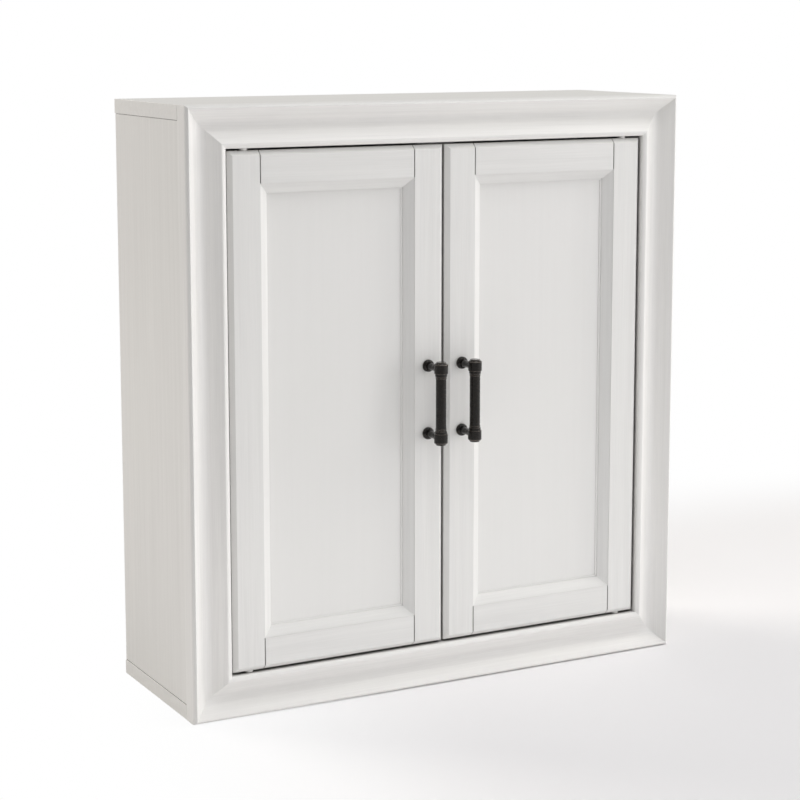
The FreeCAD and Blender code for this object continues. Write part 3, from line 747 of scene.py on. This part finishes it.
def cross(centre, axis, half, half_wide, deep):
    """A cross recess's two bars, cut into a face at the centre along a level axis."""
    axis = Vector(axis)
    other = axis.cross(UP)
    bars = []
    for along, wide in ((UP, other), (other, UP)):
        matrix = Matrix((along * half * 2, wide * half_wide * 2, axis * deep * 2)).transposed().to_4x4()
        matrix.translation = centre
        bm = bmesh.new()
        bmesh.ops.create_cube(bm, size=1, matrix=matrix)
        bars.append(bm)
    return bars


def cam_locks():
    """The cams in the side panels, with cross recesses."""
    parts = []
    corners = [(0, 0), (6.6 * MM, 0), (CAM_R, 0.5 * MM), (CAM_R, CAM_LENGTH), (0, CAM_LENGTH)]
    profile = rounded(corners, 0.3 * MM)
    for side in SIDES:
        for centre in cam_places(side):
            cam = turned(bmesh.new(), profile, centre, (side, 0, 0))
            bars = cross(centre, (side, 0, 0), 4.5 * MM, 0.7 * MM, 1.5 * MM)
            parts.append(carved(cam, *bars))
    piece("cam_locks_cast", merged(*parts), CASTING, "carcass", "zinc_casting", "cam_locks")


def back_nails():
    """Nails with low domed heads, let into the back panel."""
    bm = bmesh.new()
    profile = [
        (0, 0.05 * MM), (1.4 * MM, 0.12 * MM), (NAIL_HEAD_R, 0.4 * MM), (NAIL_HEAD_R, NAIL_HEAD),
        (NAIL_R, NAIL_HEAD), (NAIL_R, NAIL_LENGTH - 1.5 * MM), (0, NAIL_LENGTH),
    ]
    for x, height in nail_places():
        turned(bm, profile, at(x, 0, height), FORWARD, segments=24)
    piece("back_nails_plated", bm, ZINC, "carcass", "zinc_steel", "back_nails")


def build_carcass():
    """The whole carcass behind the moulded frame."""
    for side in SIDES:
        side_panel(side)
    for name in ("bottom_board", "top_board"):
        end_board(name)
    back_panel()
    hanging_rails()
    shelf()
    shelf_pegs()
    cam_locks()
    back_nails()


# ---- Moulded frame ----

RIGHT = Vector((1, 0, 0))
INWARD = (UP, RIGHT, -UP, -RIGHT)


def mitred(section, across, upward, turn, centre):
    """One member of a mitred rectangle, from (inset, depth) pairs of its section.

    turn is 0 for the bottom, 1 for the left, 2 for the top and 3 for the right member.
    """
    inward = INWARD[turn]
    along = UP if turn % 2 else RIGHT
    reach, length = (across / 2, upward) if turn % 2 else (upward / 2, across)
    ends = []
    for end in (-1, 1):
        ring = []
        for inset, depth in section:
            run = end * (length / 2 - inset)
            ring.append(centre + inward * (inset - reach) + along * run + FORWARD * depth)
        ends.append(ring)
    first, last = ends
    polygons = [first, last]
    for i in range(len(section)):
        j = (i + 1) % len(section)
        polygons.append([first[i], first[j], last[j], last[i]])
    return solid(polygons)


def frame_section():
    """The cove moulding's section: outer round, crest, slope, cove, slope, inner bead."""
    crest = (CREST_AT, CREST_DEPTH)
    cove = (COVE_AT, CREST_DEPTH - COVE_DEPTH)
    bead = (BEAD_AT, CREST_DEPTH - BEAD_BELOW_CREST)
    inner = math.asin((MEMBER - BEAD_AT) / BEAD_INNER_R)
    outer_end = on_round(crest, CREST_R, -OUTER_SLOPE, -OUTER_SLOPE, 1)[0]
    outer_r = outer_end[0] / (1 - math.sin(OUTER_SLOPE))
    outer_top = (outer_r, outer_end[1] + outer_r * (1 - math.cos(OUTER_SLOPE)))
    section = [(ARRIS, CARCASS_DEPTH), (0, CARCASS_DEPTH + ARRIS)]
    section += on_round(outer_top, outer_r, -math.pi / 2, -OUTER_SLOPE, 8)
    section += on_round(crest, CREST_R, -OUTER_SLOPE, CREST_SLOPE, 8)[1:]
    section += on_round(cove, -COVE_R, CREST_SLOPE, -BEAD_SLOPE, 20)
    section += on_round(bead, BEAD_R, -BEAD_SLOPE, 0, 5)
    section += on_round(bead, BEAD_INNER_R, 0, inner, 8)[1:]
    section += [(MEMBER, CARCASS_DEPTH)]
    return section


def build_frame():
    """The moulding's four mitred members."""
    names = ("bottom", "left", "top", "right")
    section = frame_section()
    centre = at(0, 0, HEIGHT / 2)
    for turn, side in enumerate(names):
        node = side + "_frame_member"
        bm = mitred(section, WIDTH, HEIGHT, turn, centre)
        material = FRAME_UP if turn % 2 else FRAME_ACROSS
        piece(node + "_moulded", bm, material, "carcass", "frame_paint", node)


# ---- Doors ----


def sticking():
    """The sloping inner edge of a stile or rail, from the face's step to the back."""
    panel = DOOR_THICK - PANEL_RECESS
    start = (STICKING_FLAT, DOOR_THICK - STICKING_STEP)
    end = (STICKING - STICKING_LEDGE, panel + 2 * STICKING_STEP)
    slope = []
    for i in range(9):
        t = i / 8
        swell = STICKING_BULGE * 4 * t * (1 - t)
        slope.append(tuple(a + (b - a) * t + swell for a, b in zip(start, end)))
    return [
        (0, DOOR_THICK - STICKING_STEP),
        *slope,
        (end[0], panel + STICKING_STEP),
        (STICKING, panel + STICKING_STEP),
        (STICKING, panel),
        (STICKING - PANEL_GROOVE, panel),
        (STICKING - PANEL_GROOVE, panel - PANEL_THICK),
        (STICKING, panel - PANEL_THICK),
        (STICKING, 0),
    ]


def strip(flat, low, high, gap=0):
    """Faces of a sloping edge: mitred at low and high along a member of that flat width.

    The member's flat part stops short of both ends by gap.
    """
    section = sticking()
    step = section[0][1]
    lower = [(flat + inset, low + inset, depth) for inset, depth in section]
    upper = [(flat + inset, high - inset, depth) for inset, depth in section]
    polygons = [lower + [(flat, low, 0)], upper + [(flat, high, 0)]]
    for i in range(len(section) - 1):
        polygons.append([lower[i], lower[i + 1], upper[i + 1], upper[i]])
    if gap:
        polygons[2] += [(flat, high - gap, step), (flat, low + gap, step)]
        for end, inner in ((low, low + gap), (high, high - gap)):
            polygons.append([(flat, end, 0), (flat, end, step), (flat, inner, step), (flat, inner, 0)])
    return polygons


def stile_faces(tall):
    """A stile as faces of (inset from its outer edge, height, thickness) points."""
    wide, rail, slope = STILE_FLAT, RAIL_FLAT, STICKING
    cut, vee = DOOR_CHAMFER, STILE_FLAT - JOINT_V_HALF
    face, side, step = DOOR_THICK, DOOR_THICK - DOOR_CHAMFER, DOOR_THICK - STICKING_STEP
    back = [
        (0, 0), (wide, 0), (wide, rail), (wide + slope, rail + slope),
        (wide + slope, tall - rail - slope), (wide, tall - rail), (wide, tall), (0, tall),
    ]
    front = [
        (cut, cut), (vee, cut), (vee, rail), (wide, rail), (wide, tall - rail), (vee, tall - rail),
        (vee, tall - cut), (cut, tall - cut),
    ]
    polygons = strip(wide, rail, tall - rail) + [
        [(inset, height, 0) for inset, height in back],
        [(inset, height, face) for inset, height in front],
        [(0, 0, 0), (0, tall, 0), (0, tall, side), (0, 0, side)],
        [(0, 0, side), (0, tall, side), (cut, tall - cut, face), (cut, cut, face)],
        [(wide, rail, face), (wide, tall - rail, face), (wide, tall - rail, step), (wide, rail, step)],
    ]
    for end, into in ((0, 1), (tall, -1)):
        shoulder = end + into * rail
        lip = end + into * cut
        groove = lip - into * STICKING_STEP
        polygons += [
            [(0, end, 0), (wide, end, 0), (wide, end, side), (0, end, side)],
            [(0, end, side), (wide, end, side), (wide, groove, step), (vee, lip, face), (cut, lip, face)],
            [(vee, lip, face), (wide, groove, step), (wide, shoulder, step), (vee, shoulder, face)],
            [(vee, shoulder, face), (wide, shoulder, face), (wide, shoulder, step)],
            [
                (wide, end, 0), (wide, end, side), (wide, groove, step), (wide, shoulder, step),
                (wide, shoulder, 0),
            ],
        ]
    return polygons


def rail_faces(long):
    """A rail as faces of (inset from its outer edge, run, thickness) points."""
    wide, slope, cut = RAIL_FLAT, STICKING, DOOR_CHAMFER
    face, side, step = DOOR_THICK, DOOR_THICK - DOOR_CHAMFER, DOOR_THICK - STICKING_STEP
    groove = cut - STICKING_STEP
    near, far = JOINT_GAP, long - JOINT_GAP
    first, last = near + JOINT_V_HALF, far - JOINT_V_HALF
    back = [
        (0, near), (wide, near), (wide, 0), (wide + slope, slope), (wide + slope, long - slope),
        (wide, long), (wide, far), (0, far),
    ]
    polygons = strip(wide, 0, long, JOINT_GAP) + [
        [(inset, run, 0) for inset, run in back],
        [(cut, first, face), (cut, last, face), (wide, last, face), (wide, first, face)],
        [(0, near, 0), (0, far, 0), (0, far, side), (0, near, side)],
        [
            (0, near, side), (groove, near, step), (cut, first, face), (cut, last, face),
            (groove, far, step), (0, far, side),
        ],
        [(wide, first, face), (wide, last, face), (wide, far, step), (wide, near, step)],
    ]
    for end, lip in ((near, first), (far, last)):
        polygons += [
            [(groove, end, step), (cut, lip, face), (wide, lip, face), (wide, end, step)],
            [(0, end, 0), (0, end, side), (groove, end, step), (wide, end, step), (wide, end, 0)],
        ]
    return polygons


def front_edge(edge):
    """Edges on a door's front that are eased: outward ones that bound no mitred end."""
    depths = [-vert.co.y - CARCASS_DEPTH for vert in edge.verts]
    if min(depths) < DOOR_THICK - PANEL_RECESS + 0.5 * STICKING_STEP:
        return False
    mitred_end = any(len(face.verts) > len(sticking()) for face in edge.link_faces)
    return edge.is_convex and not mitred_end


def door_member(body, member, polygons, material, place):
    """A stile or rail, from its faces and the place of each point across and in height."""

    def placed(inset, run, depth):
        x, height = place(inset, run)
        return at(x, CARCASS_DEPTH + depth, height)

    faces = [[placed(*point) for point in polygon] for polygon in polygons]
    bm = ease(solid(faces), 0.3 * MM, front_edge, 2)
    node = body + "_" + member
    piece(node + "_painted", bm, material, body, "door_paint", node)


def build_door(side):
    """A door's two stiles, two rails and panel."""
    name = SIDE_NAMES[side] + "_door"
    stile = stile_faces(DOOR_TOP - DOOR_BOTTOM)
    rail = rail_faces(DOOR_FAR - DOOR_NEAR - 2 * STILE_FLAT)
    start = DOOR_NEAR + STILE_FLAT
    members = {
        "hinge_stile": (stile, DOOR_UP, lambda inset, run: (side * (DOOR_FAR - inset), DOOR_BOTTOM + run)),
        "meeting_stile": (stile, DOOR_UP, lambda inset, run: (side * (DOOR_NEAR + inset), DOOR_BOTTOM + run)),
        "bottom_rail": (rail, DOOR_ACROSS, lambda inset, run: (side * (start + run), DOOR_BOTTOM + inset)),
        "top_rail": (rail, DOOR_ACROSS, lambda inset, run: (side * (start + run), DOOR_TOP - inset)),
    }
    for member, (polygons, material, place) in members.items():
        door_member(name, member, polygons, material, place)
    panel = ease(block(*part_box(name + "_panel")), FINE_EASE)
    piece(name + "_panel_painted", panel, PANEL, name, "door_paint", name + "_panel")


# ---- Pulls ----


def pull_bar(bm, centre):
    """A bar with a ring, a neck and a collar near each end, and a tenon into each cap."""
    collar = CAP_START - COLLAR
    ring = collar - NECK
    half = [
        (BAR_R, ring - RING), (RING_R, ring - RING), (RING_R, ring), (NECK_R, ring),
        (NECK_R, collar), (COLLAR_R, collar), (COLLAR_R, CAP_START), (TENON_R, CAP_START),
        (TENON_R, CAP_START + TENON), (0, CAP_START + TENON),
    ]
    lower = [(radius, -distance) for radius, distance in reversed(half)]
    turned(bm, rounded(lower + half, 0.3 * MM, 4), centre, UP)


def pull_cap(bm, centre, away):
    """The cap on one end of the bar, with a chamfered shoulder and a low crown."""
    outer = CAP_START + CAP_LENGTH
    bore = TENON_R + BORE_PLAY
    profile = [
        (0, CAP_START + TENON), (bore, CAP_START + TENON), (bore, CAP_START), (CAP_R, CAP_START),
        (CAP_R, outer - CAP_CHAMFER), (CAP_R - CAP_CHAMFER, outer), (NECK_R, outer),
        (NECK_R, outer + CROWN), (0, outer + CROWN),
    ]
    turned(bm, rounded(profile, 0.35 * MM, 4), centre, UP * away)


def pull_post(bm, start):
    """A post with a slight waist, which swells where it meets the cap."""
    reach = PULL_AXIS - CAP_R + 3 * MM
    wide = POST_R + POST_SWELL
    profile = [
        (0, 0), (POST_R, 0), (POST_R, 9 * MM), (POST_R - POST_WAIST, 14 * MM), (POST_R, 18 * MM),
        (wide, reach - 2 * MM), (wide, reach), (0, reach),
    ]
    turned(bm, rounded(profile, 1.2 * MM, 5, rubbed_lit=0), start, FORWARD)


def pull_rosette(bm, start):
    """A domed ring round a post's foot, with a rim against the door."""
    edge = 0.3 * MM
    profile = [(POST_R, 0), (ROSETTE_R - edge, 0), (ROSETTE_R, edge, 1)]
    for i in range(11):
        angle = math.radians(90 * i / 10)
        across = POST_R + (ROSETTE_R - POST_R) * math.cos(angle)
        profile.append((across, ROSETTE_RIM + (ROSETTE_HEIGHT - ROSETTE_RIM) * math.sin(angle)))
    turned(bm, profile, start, FORWARD, hollow=True)


def screw(start, shank_r, length, head_r, head):
    """A pan-head screw driven forward from the underside of its head, with a cross recess."""
    profile = [
        (0, -head), (head_r * 0.55, -head), (head_r * 0.9, -head * 0.72), (head_r, -head * 0.3),
        (head_r, 0), (shank_r, 0), (shank_r, length), (0, length),
    ]
    bm = turned(bmesh.new(), rounded(profile, 0.3 * MM), start, FORWARD)
    top = start - FORWARD * head
    return carved(bm, *cross(top, FORWARD, head_r * 0.5, head_r * 0.13, head * 0.5))


def build_pull(side):
    """A door's pull, with the two screws that hold it."""
    name = SIDE_NAMES[side]
    body = name + "_door"
    centre = at(side * PULL_X, DOOR_FACE + PULL_AXIS, PULL_HEIGHT)
    heights = [PULL_HEIGHT + away * PULL_CENTRES / 2 for away in (-1, 1)]
    faces = [at(side * PULL_X, DOOR_FACE, height) for height in heights]
    backs = [at(side * PULL_X, CARCASS_DEPTH, height) for height in heights]
    pieces = {
        "_pull_bar": (pull_bar, [(centre,)]),
        "_pull_end_caps": (pull_cap, [(centre, away) for away in (-1, 1)]),
        "_pull_posts": (pull_post, [(start,) for start in faces]),
        "_pull_rosettes": (pull_rosette, [(start,) for start in faces]),
    }
    for part, (make, places) in pieces.items():
        bm = bmesh.new()
        for place in places:
            make(bm, *place)
        piece(name + part + "_turned", bm, BRONZE, body, "bronze", name + part)
    screws = merged(*(screw(start, *PULL_SCREW) for start in backs))
    piece(name + "_pull_screws_plated", screws, ZINC, body, "zinc_steel", name + "_pull_screws")


# ---- Hinges and catch ----


def pivot_pins():
    """Steel pins fixed in the frame, on which the doors turn."""
    long = PIN_IN_FRAME + GAP + PIN_IN_DOOR
    profile = rounded([(0, 0), (PIN_R, 0), (PIN_R, long), (0, long)], 0.5 * MM)
    low = MEMBER - PIN_IN_FRAME
    pins = bmesh.new()
    for side in SIDES:
        for height, into in ((low, 1), (HEIGHT - low, -1)):
            turned(pins, profile, at(side * PIVOT_X, PIVOT_DEPTH, height), UP * into, segments=32)
    piece("pivot_pins_plated", pins, ZINC, "carcass", "zinc_steel", "pivot_pins")


def pivot_bushes(side):
    """The flanged bushes in the top and bottom of a door."""
    sleeve = [
        (BUSH_BORE_R, -FLANGE), (FLANGE_R, -FLANGE), (FLANGE_R, 0), (BUSH_R, 0),
        (BUSH_R, BUSH_LENGTH), (BUSH_BORE_R, BUSH_LENGTH),
    ]
    profile = rounded(sleeve, 0.25 * MM, closed=True)
    bushes = bmesh.new()
    for height, into in ((DOOR_BOTTOM, 1), (DOOR_TOP, -1)):
        turned(bushes, profile, at(side * PIVOT_X, PIVOT_DEPTH, height), UP * into, hollow=True)
    node = SIDE_NAMES[side] + "_pivot_bushes"
    piece(node + "_moulded", bushes, PLASTIC, SIDE_NAMES[side] + "_door", "white_plastic", node)


def strike(side):
    """A door's steel strike plate, held by one countersunk screw."""
    name = SIDE_NAMES[side] + "_"
    body = name + "door"
    shank_r, long, head_r, head = STRIKE_SCREW
    low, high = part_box(name + "strike_plate")
    start = Vector(((low.x + high.x) / 2, high.y, (low.z + high.z) / 2))
    plate = ease(block(low, high), 0.35 * MM)
    plate = carved(plate, bored([start], FORWARD, head_r + BORE_PLAY, 3 * MM))
    piece(name + "strike_plate_pressed", plate, ZINC, body, "zinc_steel", name + "strike_plate")
    profile = [(0, 0), (head_r, 0), (shank_r, head), (shank_r, long - 2 * MM), (0, long)]
    driven = turned(bmesh.new(), rounded(profile, 0.15 * MM), start, FORWARD, segments=32)
    driven = carved(driven, *cross(start, FORWARD, 1.5 * MM, 0.35 * MM, 0.6 * MM))
    piece(name + "strike_screw_plated", driven, ZINC, body, "zinc_steel", name + "strike_screw")


def catch_block():
    """The catch's housing before boring: a block with a lip over the frame's back edge."""
    low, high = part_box("catch_housing")
    back, front = -high.y, CARCASS_DEPTH - CATCH_SETBACK
    bottom, shoulder, top = low.z - BASE, HEIGHT - MEMBER, high.z - BASE
    section = [
        (back, bottom), (front, bottom), (front, shoulder), (CARCASS_DEPTH, shoulder),
        (CARCASS_DEPTH, top), (back, top),
    ]
    left, right = ([at(x, *point) for point in section] for x in (low.x, high.x))
    polygons = [left, right]
    for i in range(len(section)):
        polygons.append([left[i - 1], left[i], right[i], right[i - 1]])
    return ease(solid(polygons), 0.6 * MM, lambda edge: edge.is_convex)


def build_catch():
    """The double magnetic catch behind the top of the frame, and the strikes it holds."""
    low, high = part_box("catch_magnets")
    play = Vector((0.1, 0.1, 0.1)) * MM
    magnets, pockets = [], []
    for side in SIDES:
        left, right = (side * MAGNET_X + end * MAGNET_WIDE / 2 for end in SIDES)
        start, end = Vector((left, low.y, low.z)), Vector((right, high.y, high.z))
        magnets.append(ease(block(start, end), 0.4 * MM))
        pockets.append(block(start - play + FORWARD * MM, end + play))
    back = -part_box("catch_housing")[1].y
    rise = HEIGHT - MEMBER + CATCH_SCREW_RISE
    starts = [at(side * CATCH_SCREW_X, back, rise) for side in SIDES]
    bores = bored(starts, FORWARD, CATCH_SCREW[0] + BORE_PLAY, 15 * MM)
    housing = carved(catch_block(), *pockets, bores)
    piece("catch_housing_moulded", housing, PLASTIC, "carcass", "white_plastic", "catch_housing")
    piece("catch_magnets_ground", merged(*magnets), MAGNET, "carcass", "magnet", "catch_magnets")
    screws = merged(*(screw(start, *CATCH_SCREW) for start in starts))
    piece("catch_screws_plated", screws, ZINC, "carcass", "zinc_steel", "catch_screws")
    for side in SIDES:
        strike(side)


# ---- Stage ----


def build_stage():
    """A pale floor that fades to plain white away from the cabinet."""
    mesh = bpy.data.meshes.new("floor")
    half, level = FLOOR_HALF, BASE - FLOOR_DROP
    corners = [(-half, -half, level), (half, -half, level), (half, half, level), (-half, half, level)]
    mesh.from_pydata(corners, [], [(0, 1, 2, 3)])
    floor = bpy.data.objects.new("floor", mesh)
    bpy.context.scene.collection.objects.link(floor)
    material, tree, shader = new_material("floor", (0.965, 0.955, 0.965), 0.9)
    distance = tree.nodes.new("ShaderNodeVectorMath")
    distance.operation = "DISTANCE"
    distance.inputs[1].default_value = (*FADE_CENTRE, level)
    tree.links.new(stretched(tree, PLAIN), distance.inputs[0])
    fade = remap(tree, distance.outputs["Value"], *FADE, 0, 1, "SMOOTHERSTEP")
    path = tree.nodes.new("ShaderNodeLightPath")
    white = tree.nodes.new("ShaderNodeEmission")
    blend = tree.nodes.new("ShaderNodeMixShader")
    tree.links.new(combine(tree, "MULTIPLY", fade, path.outputs["Is Camera Ray"]), blend.inputs["Fac"])
    tree.links.new(shader.outputs["BSDF"], blend.inputs[1])
    tree.links.new(white.outputs["Emission"], blend.inputs[2])
    tree.links.new(blend.outputs["Shader"], tree.nodes["Material Output"].inputs["Surface"])
    mesh.materials.append(material)


# Soft boxes round the cabinet: the direction each stands in (degrees to the right of
# straight ahead, and above level), its distance, size, power and tint.
LIGHTS = (
    ("key_high", 65, 40, 4.5, (2.0, 2.0), 47.5, (1.0, 0.96, 0.90)),
    ("key_low", 45, 8, 4.5, (2.0, 2.0), 36, (0.98, 0.98, 1.0)),
    ("top", 10, 70, 3.0, (2.4, 1.6), 25, (0.95, 0.97, 1.0)),
    ("left_fill", -145, 30, 3.5, (1.8, 2.0), 54.5, (1.0, 0.955, 0.88)),
    ("right_fill", 80, 12, 4.0, (0.9, 1.6), 27, (1.0, 0.99, 0.98)),
)


def soft_box(name, place, rotation, size, power, tint):
    """A rectangular area light."""
    light = bpy.data.lights.new(name, "AREA")
    light.shape = "RECTANGLE"
    light.size, light.size_y = size
    light.energy = power
    light.color = tint
    lamp = bpy.data.objects.new(name, light)
    lamp.location = place
    lamp.rotation_euler = rotation
    bpy.context.scene.collection.objects.link(lamp)
    return lamp


def heading(turn, rise):
    """The way that lies turn to the right of straight into the scene, and rise above level."""
    return Vector((math.sin(turn) * math.cos(rise), math.cos(turn) * math.cos(rise), math.sin(rise)))


def build_light():
    """An even pale surround with soft boxes; the backdrop itself shows plain white."""
    world = bpy.data.worlds.new("studio")
    world.use_nodes = True
    tree = world.node_tree
    background = tree.nodes["Background"]
    path = tree.nodes.new("ShaderNodeLightPath")
    strength = remap(tree, path.outputs["Is Camera Ray"], 0, 1, WORLD_LIGHT, 1.0)
    background.inputs["Color"].default_value = (1, 1, 1, 1)
    tree.links.new(strength, background.inputs["Strength"])
    bpy.context.scene.world = world
    middle = at(0, CARCASS_DEPTH, HEIGHT / 2)
    for name, across, above, distance, *look in LIGHTS:
        back = heading(-math.radians(across), -math.radians(above))
        rotation = back.to_track_quat("-Z", "Y").to_euler()
        soft_box(name, middle - back * distance, rotation, *look)
    low = at(0, CARCASS_DEPTH + CARD_AHEAD, CARD_RISE)
    card = soft_box("floor_card", low, (math.pi, 0, 0), CARD_SIZE, CARD_POWER, (1, 1, 1))
    card.visible_camera = False


def build_camera():
    """The camera at the photograph's viewing angle: its heading, downward tilt and roll."""
    ahead = heading(YAW, -PITCH)
    right = heading(YAW + math.pi / 2, 0)
    down = ahead.cross(right)
    right, down = (
        right * math.cos(ROLL) + down * math.sin(ROLL),
        down * math.cos(ROLL) - right * math.sin(ROLL),
    )
    camera = bpy.data.cameras.new("camera")
    camera.sensor_width = SENSOR
    camera.lens = LENS
    camera.shift_y = VERTICAL_SHIFT
    viewer = bpy.data.objects.new("camera", camera)
    matrix = Matrix((right, -down, -ahead)).transposed().to_4x4()
    matrix.translation = CAMERA_PLACE
    viewer.matrix_world = matrix
    bpy.context.scene.collection.objects.link(viewer)
    bpy.context.scene.camera = viewer


build_carcass()
build_frame()
for door_side in SIDES:
    build_door(door_side)
    build_pull(door_side)
pivot_pins()
for door_side in SIDES:
    pivot_bushes(door_side)
build_catch()
build_stage()
build_light()
build_camera()
bpy.context.scene.view_settings.view_transform = "Standard"
